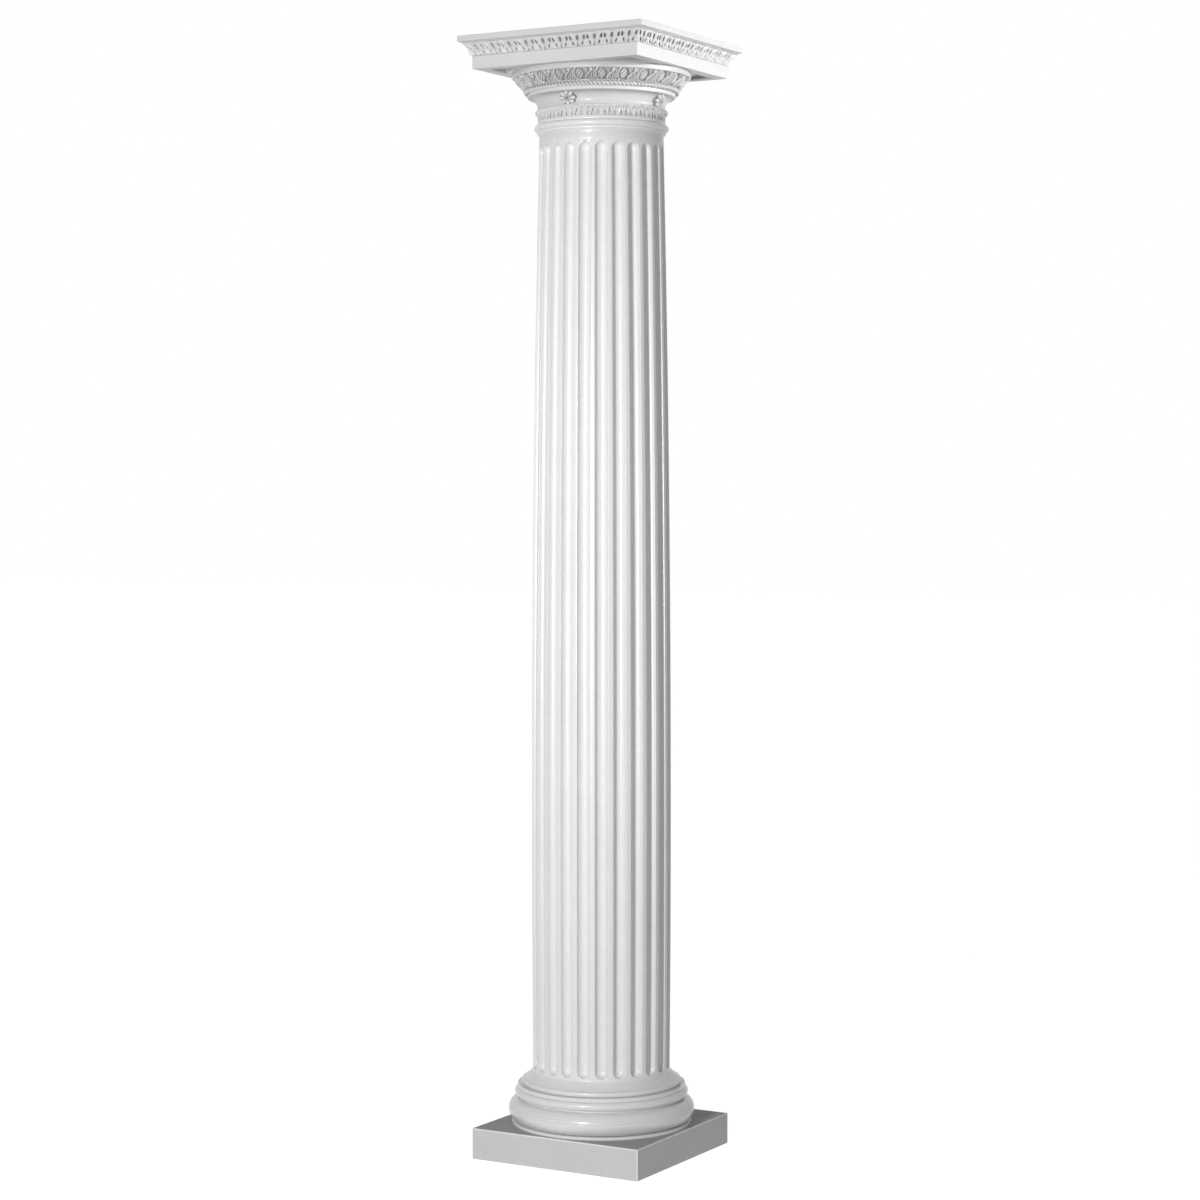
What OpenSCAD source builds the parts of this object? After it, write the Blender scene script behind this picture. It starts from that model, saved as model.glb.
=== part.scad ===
// A fluted round column in five stacked pieces: a square plinth, a round base of two tori,
// a swelling fluted shaft, a round carved capital and a square carved abacus.
// The origin is at the centre of the underside, Z points up, and the front faces -Y.

/* [Whole column] */
// Height from the floor to the top of the abacus
column_h = 2440; // [1900:10:3000]
// Width of the round hole that a structural post passes through
bore_d = 220; // [180:1:226]
// Number of flutes, and of the eggs and leaves that stand over them
flute_n = 24; // [20:4:28]

/* [Plinth] */
// Side of the square plinth
plinth_w = 412; // [410:1:500]
// Height of the plinth
plinth_h = 67; // [40:1:110]

/* [Base] */
// Width over the thin fillet under the lower torus
base_foot_d = 392; // [380:1:404]
// Height of that fillet
base_foot_h = 6; // [3:0.5:10]
// Width over the lower torus
lower_torus_d = 408; // [380:1:410]
// Height of the lower torus
lower_torus_h = 50; // [36:1:64]
// Width of the quirk between the tori
quirk_d = 358; // [350:1:364]
// Height of the quirk between the tori
quirk_h = 3; // [3:0.5:8]
// Width over the upper torus
upper_torus_d = 380; // [370:1:384]
// Height of the upper torus
upper_torus_h = 19; // [14:1:28]
// Width over the fillet on top of the base
base_fillet_d = 368; // [364:1:376]
// Height of that fillet
base_fillet_h = 8; // [4:1:14]

/* [Shaft] */
// Width of the shaft above its flared foot
shaft_foot_d = 301; // [292:1:312]
// Width of the shaft where it swells most
shaft_swell_d = 306.6; // [300:0.2:318]
// Width of the shaft under its top mouldings
shaft_head_d = 274; // [272:1:290]
// Where the swelling is widest, as a share of the shaft's height
swell_at = 0.28; // [0.15:0.01:0.6]
// Width over the half-round ring under the foot
foot_ring_d = 350; // [350:1:362]
// Height of that ring
foot_ring_h = 12; // [8:1:18]
// Height of the flare from the ring up to the shaft
foot_flare_h = 18; // [12:1:36]
// Width over the astragal, the half-round ring at the head
astragal_d = 296; // [290:1:306]
// Height of the astragal
astragal_h = 15; // [10:1:20]
// Width over the fillets above and below the astragal
head_fillet_d = 283; // [280:1:288]
// Height of each of those fillets
head_fillet_h = 5; // [3:0.5:9]
// Height of the small flare under the lower fillet
head_flare_h = 9; // [5:1:16]

/* [Flutes] */
// Width of a flute, the same all the way up
flute_w = 27.6; // [18:0.2:28]
// Plain band between the foot's flare and the flutes
flute_foot_gap = 5; // [2:1:40]
// Plain band between the flutes and the head's flare
flute_head_gap = 20; // [4:1:60]

/* [Capital] */
// Width over the thin round bead that starts the neck
neck_bead_d = 286; // [284:1:290]
// Height of the leaf band under the bead
leaf_band_h = 22; // [16:1:32]
// Height of the bead
neck_bead_h = 5; // [3:1:8]
// Width of the neck where it is thinnest
neck_d = 280; // [274:1:284]
// Height of the hollow neck
neck_h = 29; // [24:1:44]
// Width over the fillet above the neck
cap_fillet_d = 326; // [318:1:330]
// Height of that fillet
cap_fillet_h = 7; // [4:1:10]
// Width over the roped bead
rope_d = 342; // [336:1:348]
// Height of the roped bead
rope_h = 8; // [6:1:12]
// Width over the plain band on top of the carved ovolo
echinus_d = 394; // [380:1:400]
// Height of the carved ovolo
ovolo_h = 27; // [20:1:40]
// How far the ovolo bows out from a straight flare
ovolo_bow = 2; // [0.5:0.5:8]
// Height of the plain band
echinus_band_h = 12; // [8:1:20]
// Width over one rosette
rosette_d = 33; // [24:1:38]

/* [Abacus] */
// Side of the plain corona
corona_w = 412; // [402:1:440]
// Height of the corona
corona_h = 27; // [20:1:40]
// Side of the fascia, the top edge
fascia_w = 460; // [450:1:490]
// Height of the fascia
fascia_h = 13; // [10:1:26]
// Side of the thin fillet under the fascia
fascia_fillet_w = 448; // [440:1:460]
// Height of that fillet
fascia_fillet_h = 3; // [2:0.5:6]
// Height of the carved cyma between them
cyma_h = 28; // [20:1:40]
// Leaves along each side of the cyma
cyma_leaf_n = 10; // [6:1:12]
// Width of the plain border round the sunk corners underneath
soffit_border = 28; // [20:1:34]
// Width of the plain disc between the sunk corners
soffit_disc_d = 408; // [400:1:420]
// Depth of the sunk corners
soffit_sink = 7; // [3:1:12]

/* [Hidden] */

body_colour = [0.90, 0.90, 0.90];
trim_colour = [0.86, 0.86, 0.87];
leg = 1;                       // how far cutters run past the solid they cut
arc_steps = 10;                // straight steps round a moulding's half circle
flute_steps = 6;               // flat strips across one flute
cap_steps = [24, 48, 70, 90];  // angles of the rows that round a flute's end
swell_rows = 5;                // rows between a flute's two ends
cyma_steps = 8;                // straight steps in the cyma's curve
cyma_leaf_t = 4;               // thickness of the cyma's leaves

base_z = plinth_h;
lower_torus_z = base_z + base_foot_h;
upper_torus_z = lower_torus_z + lower_torus_h + quirk_h;
base_fillet_z = upper_torus_z + upper_torus_h;
shaft_z = base_fillet_z + base_fillet_h;
corona_z = column_h - fascia_h - fascia_fillet_h - cyma_h - corona_h;
fascia_z = column_h - fascia_h;
ovolo_z = corona_z - echinus_band_h - ovolo_h;
rope_z = ovolo_z - rope_h;
cap_fillet_z = rope_z - cap_fillet_h;
neck_z = cap_fillet_z - neck_h;
neck_bead_z = neck_z - neck_bead_h;
capital_z = neck_bead_z - leaf_band_h;
astragal_z = capital_z - head_fillet_h - astragal_h;
drum_z0 = shaft_z + foot_ring_h + foot_flare_h;
drum_z1 = astragal_z - head_fillet_h - head_flare_h;
swell_z = drum_z0 + swell_at * (drum_z1 - drum_z0);
flute_r = flute_w / 2;
flute_z0 = drum_z0 + flute_foot_gap;
flute_z1 = drum_z1 - flute_head_gap;

// Points along an arc about [cr, cz], with half widths a across and b up
function arc(cr, cz, a, b, from, to, steps) =
    [for (i = [0 : steps]) let (t = from + (to - from) * i / steps) [cr + a * cos(t), cz + b * sin(t)]];

// Points of a half-round moulding of height h that stands on z and reaches out to radius r
function half_round(r, z, h) = arc(r - h / 2, z + h / 2, h / 2, h / 2, -90, 90, arc_steps);

// Points from p to q, bowed out to the right of that way by sag at the middle
function bowed(p, q, sag, steps) = let (d = q - p, n = [d[1], -d[0]] / norm(d))
    [for (i = [0 : steps]) let (t = i / steps) p + d * t + n * (sag * 4 * t * (1 - t))];

// Radius of the swelling shaft at height z: a parabola on each side of the widest place
function shaft_r(z) = z < swell_z
    ? shaft_swell_d / 2 - (shaft_swell_d - shaft_foot_d) / 2 * pow((swell_z - z) / (swell_z - drum_z0), 2)
    : shaft_swell_d / 2 - (shaft_swell_d - shaft_head_d) / 2 * pow((z - swell_z) / (drum_z1 - swell_z), 2);

// A solid of revolution with the post's hole through it, between two heights
module turned(outline, z0, z1) {
    difference() {
        rotate_extrude($fn = 144) polygon(concat([[0, z0]], outline, [[0, z1]]));
        post_hole(z0, z1);
    }
}

module post_hole(z0, z1) {
    translate([0, 0, z0 - leg]) cylinder(d = bore_d, h = z1 - z0 + 2 * leg, $fn = 144);
}

// The children, which face +X, turned to count places round the axis from the front on
module round_ring(count) {
    for (i = [0 : count - 1]) rotate([0, 0, -90 + i * 360 / count]) children();
}

module plinth() {
    color(body_colour) difference() {
        translate([-plinth_w / 2, -plinth_w / 2, 0]) cube([plinth_w, plinth_w, plinth_h]);
        post_hole(0, plinth_h);
    }
}

module base() {
    outline = concat(
        [[base_foot_d / 2, base_z], [base_foot_d / 2, lower_torus_z]],
        half_round(lower_torus_d / 2, lower_torus_z, lower_torus_h),
        [[quirk_d / 2, lower_torus_z + lower_torus_h], [quirk_d / 2, upper_torus_z]],
        half_round(upper_torus_d / 2, upper_torus_z, upper_torus_h),
        [[base_fillet_d / 2, base_fillet_z], [base_fillet_d / 2, shaft_z]]);
    color(body_colour) turned(outline, base_z, shaft_z);
}

// One row of points round the fluted drum at height z, where every flute is 2 * w wide
function drum_row(z, w) = let (r = shaft_r(z)) [
    for (i = [0 : flute_n - 1]) for (j = [0 : flute_steps])
        let (t = 180 * j / flute_steps, across = -flute_r * cos(t), a = -90 + i * 360 / flute_n)
        w > 0
            ? let (out = sqrt(r * r - w * w) - w * sin(t), side = -w * cos(t))
              [out * cos(a) - side * sin(a), out * sin(a) + side * cos(a), z]
            : let (b = a + asin(across / r)) [r * cos(b), r * sin(b), z]];

// Heights and half widths of all rows: plain, rounded flute end, swell, rounded flute end, plain
drum_rows = concat(
    [[drum_z0 - leg, 0], [flute_z0, 0]],
    [for (t = cap_steps) [flute_z0 + flute_r * (1 - cos(t)), flute_r * sin(t)]],
    [for (i = [1 : swell_rows])
        [flute_z0 + flute_r + (flute_z1 - flute_z0 - flute_w) * i / (swell_rows + 1), flute_r]],
    [for (i = [len(cap_steps) - 1 : -1 : 0])
        [flute_z1 - flute_r * (1 - cos(cap_steps[i])), flute_r * sin(cap_steps[i])]],
    [[flute_z1, 0], [drum_z1 + leg, 0]]);

module fluted_drum() {
    across = flute_n * (flute_steps + 1);
    top = len(drum_rows) - 1;
    points = [for (row = drum_rows) each drum_row(row[0], row[1])];
    sides = [for (k = [0 : top - 1]) for (i = [0 : across - 1])
        let (j = (i + 1) % across, low = k * across, high = low + across)
        each [[low + i, high + i, high + j], [low + i, high + j, low + j]]];
    ends = [[for (i = [0 : across - 1]) i], [for (i = [across - 1 : -1 : 0]) top * across + i]];
    polyhedron(points = points, faces = concat(sides, ends));
}

module shaft() {
    lip = 0.6;                 // the flares end this far proud of the drum
    foot = concat(
        half_round(foot_ring_d / 2, shaft_z, foot_ring_h),
        [for (i = [0 : arc_steps]) let (t = i / arc_steps)
            [shaft_foot_d / 2 + lip + (foot_ring_d / 2 - foot_ring_h / 2 - shaft_foot_d / 2 - lip)
             * pow(1 - t, 1.15), shaft_z + foot_ring_h + foot_flare_h * t]]);
    head_z = astragal_z - head_fillet_h;
    head = concat(
        [for (i = [0 : arc_steps]) let (t = i / arc_steps)
            [shaft_head_d / 2 + lip + (head_fillet_d / 2 - 2 - shaft_head_d / 2 - lip) * pow(t, 2),
             drum_z1 + head_flare_h * t]],
        [[head_fillet_d / 2, head_z], [head_fillet_d / 2, astragal_z]],
        half_round(astragal_d / 2, astragal_z, astragal_h),
        [[head_fillet_d / 2, astragal_z + astragal_h], [head_fillet_d / 2, capital_z]]);
    color(body_colour) difference() {
        union() {
            fluted_drum();
            rotate_extrude($fn = 144) polygon(concat([[0, shaft_z]], foot, [[0, drum_z0]]));
            rotate_extrude($fn = 144) polygon(concat([[0, drum_z1]], head, [[0, capital_z]]));
        }
        post_hole(shaft_z, capital_z);
    }
}

// One upright leaf of the band under the neck, with its tip pointing up
module neck_leaf(width, height, thickness) {
    rotate([90, 0, 90]) linear_extrude(thickness)
        polygon([[-width * 0.28, 0], [-width / 2, height * 0.4], [-width * 0.36, height * 0.75],
                 [0, height], [width * 0.36, height * 0.75], [width / 2, height * 0.4],
                 [width * 0.28, 0]]);
}

// A flower of eight round petals about a round eye, facing +X
module rosette(width) {
    petal_r = width * 0.17;
    for (i = [0 : 7]) rotate([i * 45, 0, 0]) translate([0, 0, width / 2 - petal_r])
        sphere(r = petal_r, $fn = 24);
    sphere(r = width * 0.2, $fn = 24);
}

module capital() {
    neck_out = cap_fillet_d / 2 - 3;
    ovolo_r = rope_d / 2;
    band_r = echinus_d / 2;
    outline = concat(
        [[neck_d / 2, capital_z], [neck_d / 2, neck_bead_z]],
        half_round(neck_bead_d / 2, neck_bead_z, neck_bead_h),
        arc(neck_out, neck_z + 4, neck_out - neck_d / 2, neck_h - 6, 180, 90, arc_steps),
        [[cap_fillet_d / 2, cap_fillet_z], [cap_fillet_d / 2, rope_z]],
        half_round(rope_d / 2, rope_z, rope_h),
        bowed([ovolo_r - 2, ovolo_z], [band_r - 2, ovolo_z + ovolo_h], ovolo_bow, arc_steps),
        [[band_r, ovolo_z + ovolo_h], [band_r, corona_z]]);
    leaf_w = PI * neck_d / flute_n * 0.82;
    egg_r = PI * (ovolo_r + band_r) / flute_n * 0.24;
    color(trim_colour) difference() {
        union() {
            rotate_extrude($fn = 144) polygon(concat([[0, capital_z]], outline, [[0, corona_z]]));
            round_ring(flute_n) translate([neck_d / 2 - 4, 0, capital_z])
                neck_leaf(leaf_w, leaf_band_h - 2, 6.5);
            round_ring(flute_n) translate([(ovolo_r + band_r) / 2, 0, ovolo_z + ovolo_h * 0.48])
                sphere(r = egg_r, $fn = 32);
            round_ring(4) translate([neck_d / 2 + 7, 0, neck_z + neck_h / 2])
                rotate([0, 22, 0]) rosette(rosette_d);
        }
        post_hole(capital_z, corona_z);
    }
}

// The abacus in outline, as half widths and heights: corona, cyma, fillet, fascia
function abacus_half() = concat(
    [[corona_w / 2, corona_z], [corona_w / 2, corona_z + corona_h]],
    [for (i = [0 : cyma_steps]) let (t = i / cyma_steps)
        [corona_w / 2 + 2 + (fascia_fillet_w / 2 - corona_w / 2 - 5) * (t - sin(360 * t) / 16),
         corona_z + corona_h + cyma_h * t]],
    [[fascia_fillet_w / 2, corona_z + corona_h + cyma_h], [fascia_fillet_w / 2, fascia_z],
     [fascia_w / 2, fascia_z], [fascia_w / 2, column_h]]);

// A length of the abacus outline, run along Y
module abacus_run() {
    half = abacus_half();
    mirrored = [for (i = [len(half) - 1 : -1 : 0]) [-half[i][0], half[i][1]]];
    rotate([90, 0, 0]) linear_extrude(fascia_w + 2 * leg, center = true)
        polygon(concat(half, mirrored));
}

// One hanging leaf of the cyma, with its round tip pointing down, facing -Y
module cyma_leaf(width, height, thickness) {
    rotate([90, 0, 0]) linear_extrude(thickness) {
        translate([-width / 2, width / 2]) square([width, height - width / 2]);
        translate([0, width / 2]) circle(d = width, $fn = 32);
    }
}

module abacus() {
    slope = atan((fascia_fillet_w - corona_w - 10) / 2 / cyma_h);
    pitch = corona_w / cyma_leaf_n;
    color(trim_colour) difference() {
        union() {
            intersection() {
                abacus_run();
                rotate([0, 0, 90]) abacus_run();
            }
            for (side = [0 : 3]) rotate([0, 0, 90 * side]) for (i = [0 : cyma_leaf_n - 1])
                translate([(i - (cyma_leaf_n - 1) / 2) * pitch, -corona_w / 2 - 3.5,
                           corona_z + corona_h + 2])
                    rotate([slope, 0, 0]) translate([0, cyma_leaf_t, 0])
                        cyma_leaf(pitch * 0.62, cyma_h, cyma_leaf_t);
        }
        post_hole(corona_z, column_h);
        difference() {
            translate([-corona_w / 2 + soffit_border, -corona_w / 2 + soffit_border, corona_z - leg])
                cube([corona_w - 2 * soffit_border, corona_w - 2 * soffit_border, soffit_sink + leg]);
            translate([0, 0, corona_z - 2 * leg])
                cylinder(d = soffit_disc_d, h = soffit_sink + 4 * leg, $fn = 144);
        }
    }
}

plinth();
base();
shaft();
capital();
abacus();
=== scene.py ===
import bpy
import bmesh
import numpy as np
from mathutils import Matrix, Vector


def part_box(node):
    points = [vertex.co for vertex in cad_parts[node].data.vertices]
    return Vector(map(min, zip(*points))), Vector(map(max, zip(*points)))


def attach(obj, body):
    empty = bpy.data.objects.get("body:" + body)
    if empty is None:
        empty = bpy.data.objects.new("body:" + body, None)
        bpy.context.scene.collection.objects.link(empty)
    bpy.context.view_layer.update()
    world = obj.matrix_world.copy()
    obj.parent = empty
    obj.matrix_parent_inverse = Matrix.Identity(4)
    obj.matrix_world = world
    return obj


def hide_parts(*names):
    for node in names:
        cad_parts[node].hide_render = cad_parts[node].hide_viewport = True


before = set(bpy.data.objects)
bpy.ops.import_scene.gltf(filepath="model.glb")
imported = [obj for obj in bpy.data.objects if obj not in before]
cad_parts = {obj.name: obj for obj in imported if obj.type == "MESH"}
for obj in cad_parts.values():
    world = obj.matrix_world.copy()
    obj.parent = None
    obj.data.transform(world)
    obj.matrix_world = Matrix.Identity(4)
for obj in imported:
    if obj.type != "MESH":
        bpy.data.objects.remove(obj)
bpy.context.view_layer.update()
mm = 0.001
turn = 2 * np.pi
boreRadius = 110.0   # the post hole, in mm like every size below
roundRing = 170.0    # inside this ring the square slabs' faces run as circles
print("frame loaded,", len(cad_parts), "nodes")


def levels(node):
    # lowest and highest level of a CAD node
    low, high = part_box(node)
    return low.z / mm, high.z / mm


def arc(centreR, centreZ, across, up, start, end, steps):
    # ellipse about a centre: r = centre + across * cos(angle), z = centre + up * sin(angle)
    angle = np.radians(np.linspace(start, end, steps + 1))
    return np.stack([centreR + across * np.cos(angle), centreZ + up * np.sin(angle)], 1)


def halfRound(radius, foot, height, steps):
    # a bead of that height that stands on a level and reaches out to a radius
    return arc(radius - height / 2, foot + height / 2, height / 2, height / 2, -90, 90, steps)


def eased(loop, radius):
    # every corner of a closed loop sharper than 25 degrees becomes three points of a small curve
    p = np.asarray(loop, float)
    before, after = p - np.roll(p, 1, 0), np.roll(p, -1, 0) - p
    lengthBefore = np.linalg.norm(before, axis=1)[:, None]
    lengthAfter = np.linalg.norm(after, axis=1)[:, None]
    before, after = before / lengthBefore, after / lengthAfter
    sharp = (before * after).sum(1) < np.cos(np.radians(25))
    cut = np.minimum(radius, 0.4 * np.minimum(lengthBefore, lengthAfter))
    start, end = p - before * cut, p + after * cut
    middle = np.where(sharp[:, None], 0.25 * start + 0.5 * p + 0.25 * end, p)
    rows = np.stack([start, middle, end], 1)
    keep = np.stack([sharp, np.ones_like(sharp), sharp], 1)
    return rows[keep]


def evenly(profile, count):
    # the same open profile, resampled at equal steps of its length
    p = np.asarray(profile, float)
    along = np.r_[0, np.cumsum(np.linalg.norm(np.diff(p, axis=0), axis=1))]
    at = np.linspace(0, along[-1], count)
    return np.stack([np.interp(at, along, p[:, 0]), np.interp(at, along, p[:, 1])], 1), along[-1]


def outward(profile):
    # unit normals of a profile that runs upwards on the outside: (dz, -dr) over its length
    slope = np.gradient(profile, axis=0)
    normal = np.stack([slope[:, 1], -slope[:, 0]], 1)
    return normal / np.linalg.norm(normal, axis=1)[:, None]


def gridPiece(name, x, y, z, material, nodes, hollow=None, paintedHighlight=None, weighted=False):
    # a closed sheet of quads: row i joins row i + 1 and the last row joins the first,
    # and the columns close the same way; the shade values say how much shade is painted on each point, 0
    # to 1, and the highlight values are 1 on the edges where a highlight is painted
    rows, columns = x.shape
    index = np.arange(rows * columns).reshape(rows, columns)
    right, up = np.roll(index, -1, 1), np.roll(index, -1, 0)
    quads = np.stack([index, right, np.roll(right, -1, 0), up], -1).reshape(-1, 4)
    points = np.stack([x, y, z], -1).reshape(-1, 3) * mm
    mesh = bpy.data.meshes.new(name)
    mesh.from_pydata(points, [], quads)
    for kind, values in (("hollow", hollow), ("paintedHighlight", paintedHighlight)):
        if values is not None:
            store = mesh.attributes.new(kind, "FLOAT", "POINT")
            store.data.foreach_set("value", np.asarray(values, np.float32).ravel())
    return finishPiece(name, mesh, material, nodes, weighted)


def finishPiece(name, mesh, material, nodes, weighted=False):
    mesh.shade_smooth()
    mesh.materials.append(material)
    mesh.update()
    piece = bpy.data.objects.new(name, mesh)
    bpy.context.scene.collection.objects.link(piece)
    if weighted:
        modifier = piece.modifiers.new("flat faces stay flat", "WEIGHTED_NORMAL")
        modifier.keep_sharp = True
    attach(piece, "root")
    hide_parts(*nodes)
    print(name, "made,", len(mesh.polygons), "faces")
    return piece


def turnedGrid(loop, columns):
    # a loop of (radius, level) carried round the axis
    angle = np.arange(columns) * turn / columns
    radius, level = loop[:, :1], loop[:, 1:]
    return radius * np.cos(angle), radius * np.sin(angle), level + 0 * angle


def squareColumns(flat, cornerSteps):
    # round a square: the place of the corner circle's centre and the way out from it, in units;
    # flat is where the columns of one side stand, -1 to 1
    bend = np.radians(np.linspace(0, 90, cornerSteps + 1)[1:-1])
    core = np.r_[np.stack([np.ones_like(flat), flat], 1), np.ones((len(bend), 2))]
    way = np.r_[np.stack([np.ones_like(flat), 0 * flat], 1), np.stack([np.cos(bend), np.sin(bend)], 1)]
    coreParts, wayParts = [core], [way]
    for quarter in range(3):
        last, lastWay = coreParts[-1], wayParts[-1]
        coreParts.append(np.stack([-last[:, 1], last[:, 0]], 1))
        wayParts.append(np.stack([-lastWay[:, 1], lastWay[:, 0]], 1))
    return np.vstack(coreParts), np.vstack(wayParts)


def squareGrid(halfWidth, cornerRadius, core, way):
    # x = core * (half width - corner radius) + way * corner radius, and y the same
    inner = halfWidth - cornerRadius
    return core[:, 0] * inner + way[:, 0] * cornerRadius, core[:, 1] * inner + way[:, 1] * cornerRadius


def ridge(distance, halfWidth):
    # a round bead across its width: sqrt(1 - (distance / half width) squared), 0 outside
    return np.sqrt(np.clip(1 - (distance / halfWidth) ** 2, 0, 1))


def smooth(value, low, high):
    # an easy step from 0 at low to 1 at high
    t = np.clip((value - low) / (high - low), 0, 1)
    return t * t * (3 - 2 * t)


def paint(name, look):
    material = bpy.data.materials.new(name)
    material.use_nodes = True
    nodes, links = material.node_tree.nodes, material.node_tree.links
    shader = nodes["Principled BSDF"]
    place = nodes.new("ShaderNodeTexCoord")

    def noise(scale, detail, low, high):
        # the middle of the noise's range, spread from low to high
        texture = nodes.new("ShaderNodeTexNoise")
        texture.inputs["Scale"].default_value = scale
        texture.inputs["Detail"].default_value = detail
        links.new(place.outputs["Object"], texture.inputs["Vector"])
        spread = nodes.new("ShaderNodeMapRange")
        spread.inputs["From Min"].default_value = 0.3
        spread.inputs["From Max"].default_value = 0.7
        spread.inputs["To Min"].default_value = low
        spread.inputs["To Max"].default_value = high
        links.new(texture.outputs["Fac"], spread.inputs["Value"])
        return spread.outputs["Result"]

    def mix(factor, first, second):
        node = nodes.new("ShaderNodeMix")
        node.data_type = "RGBA"
        for socket, value in ((node.inputs[0], factor), (node.inputs[6], first), (node.inputs[7], second)):
            if isinstance(value, bpy.types.NodeSocket):
                links.new(value, socket)
            else:
                socket.default_value = value
        return node.outputs[2]

    # slow changes of tone over a hand's width, faint mottling in the paint, then the painted
    # shade and painted highlight that the piece's own values give
    colour = mix(noise(look["toneScale"], 3, 0, 1), look["colour"], look["shade"])
    colour = mix(noise(look["mottleScale"], 4, 0, look["mottle"]), colour, look["dust"])
    depth = nodes.new("ShaderNodeAttribute")
    depth.attribute_name = "hollow"
    amount = nodes.new("ShaderNodeMath")
    amount.operation = "MULTIPLY"
    amount.inputs[1].default_value = look["hollowAmount"]
    links.new(depth.outputs["Fac"], amount.inputs[0])
    colour = mix(amount.outputs[0], colour, look["hollowShade"])
    if look.get("highlightColour"):
        paintedHighlight = nodes.new("ShaderNodeAttribute")
        paintedHighlight.attribute_name = "paintedHighlight"
        colour = mix(paintedHighlight.outputs["Fac"], colour, look["highlightColour"])
    links.new(colour, shader.inputs["Base Color"])
    links.new(noise(look["glossScale"], 2, look["rough"] - look["roughSpread"],
                    look["rough"] + look["roughSpread"]), shader.inputs["Roughness"])
    shader.inputs["IOR"].default_value = look["ior"]
    shader.inputs["Specular IOR Level"].default_value = look["gloss"]
    shader.inputs["Coat Weight"].default_value = look["coat"]
    shader.inputs["Coat Roughness"].default_value = look["coatRough"]

    # bump: the wavy skin of sprayed paint, then its fine grain
    wave = nodes.new("ShaderNodeBump")
    wave.inputs["Strength"].default_value = look["waveStrength"]
    wave.inputs["Distance"].default_value = look["waveDepth"]
    links.new(noise(look["waveScale"], 2, 0, 1), wave.inputs["Height"])
    grain = nodes.new("ShaderNodeBump")
    grain.inputs["Strength"].default_value = look["grainStrength"]
    grain.inputs["Distance"].default_value = look["grainDepth"]
    links.new(noise(look["grainScale"], 5, 0, 1), grain.inputs["Height"])
    links.new(wave.outputs["Normal"], grain.inputs["Normal"])
    links.new(grain.outputs["Normal"], shader.inputs["Normal"])
    return material


satinWhite = {
    "colour": (0.80, 0.80, 0.80, 1), "shade": (0.765, 0.765, 0.765, 1), "toneScale": 5,
    "dust": (0.68, 0.68, 0.68, 1), "mottleScale": 60, "mottle": 0.25,
    "rough": 0.34, "roughSpread": 0.05, "glossScale": 25, "coat": 0.30, "coatRough": 0.14,
    "waveScale": 45, "waveStrength": 0.10, "waveDepth": 0.001, "grainScale": 900,
    "grainStrength": 0.10, "grainDepth": 0.0004, "ior": 1.48, "gloss": 0.5,
    # painted shade: its colour, and how strongly the shade values pull towards it
    "hollowShade": (0.13, 0.13, 0.13, 1), "hollowAmount": 1.0,
}
# the plinth's paint, with a painted highlight on its edges and painted shade on its top
grainyWhite = dict(satinWhite, rough=0.58, coat=0.0, grainScale=650, grainStrength=0.35,
                   mottleScale=140, mottle=0.4, waveStrength=0.15, gloss=0.25,
                   colour=(0.68, 0.68, 0.68, 1), shade=(0.65, 0.65, 0.65, 1),
                   dust=(0.56, 0.56, 0.56, 1), highlightColour=(0.96, 0.96, 0.96, 1),
                   hollowAmount=0.48)
# the capital's paint is painted darker than the shaft's, as shade on the capital
carvedWhiteShaded = dict(satinWhite, rough=0.40, coat=0.10, waveScale=90, waveStrength=0.12,
                   colour=(0.71, 0.71, 0.71, 1), shade=(0.68, 0.68, 0.68, 1),
                   dust=(0.62, 0.62, 0.62, 1), hollowAmount=0.88)
bodyPaint = paint("satin white paint", satinWhite)
plinthPaint = paint("grainy white paint", grainyWhite)
shadedOrnamentPaint = paint("shaded white paint on carving", carvedWhiteShaded)


plinthLook = {
    "half": 206.0, "cornerRadius": 2.5, "edge": 2.2, "columnsPerSide": 40, "rimWide": 2.4,
    "rimFade": 0.8, "sideDepth": 3.0, "squareShare": 0.97, "roundAt": 160.0,
}


def makePlinth(look):
    low, high = levels("plinth")
    half, edge = look["half"], look["edge"]
    place = np.linspace(-1, 1, look["columnsPerSide"] + 1)
    place = np.r_[-1, -1 + look["rimFade"] / half, place[1:-1], 1 - look["rimFade"] / half, 1]
    core, way = squareColumns(place, 4)
    loop = eased([[half, low], [half, high - edge - look["rimFade"]], [half, high],
                  [half - edge - look["rimFade"], high], [roundRing, high], [boreRadius, high],
                  [boreRadius, low], [roundRing, low]], edge)
    x, y = squareGrid(loop[:, :1] * np.ones(len(core)), look["cornerRadius"], core, way)
    angle = np.arctan2(y, x)
    # 1 at the hole, 0 at the sides
    roundness = smooth(loop[:, :1], half * look["squareShare"], look["roundAt"])
    square = np.hypot(x, y)
    reach = square + (loop[:, :1] - square) * roundness
    # a painted highlight: the upper edge of the sides, and the four upright corners
    level = loop[:, 1:] + 0 * x
    outer = loop[:, :1] > half - look["sideDepth"]
    upperEdge = outer & (level > high - look["rimWide"])
    corner = outer & (np.abs(way).min(1) > 0.01)[None, :]
    # painted shade on the plinth's top round the base, which faces away from the light
    ledgeShade = (level > high - 0.05) & (loop[:, :1] < half - edge)   # the ledge round the base
    return gridPiece("plinthBlock", reach * np.cos(angle), reach * np.sin(angle), level,
                     plinthPaint, ["plinth"], hollow=ledgeShade, paintedHighlight=upperEdge | corner,
                     weighted=True)


makePlinth(plinthLook)


baseLook = {
    "footRadius": 196.0, "footHeight": 6.0, "lowerRadius": 204.0, "lowerHeight": 50.0,
    "quirkRadius": 179.0, "quirkHeight": 3.0, "upperRadius": 190.0, "upperHeight": 19.0,
    "filletRadius": 184.0, "columns": 288, "edge": 0.9, "lines": (10.0, 24.0), "lineHalf": 2.6,
    "lineDepth": 1.3, "coarseStep": 6, "fineFrom": 4, "fineTo": 30,
}


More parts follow.
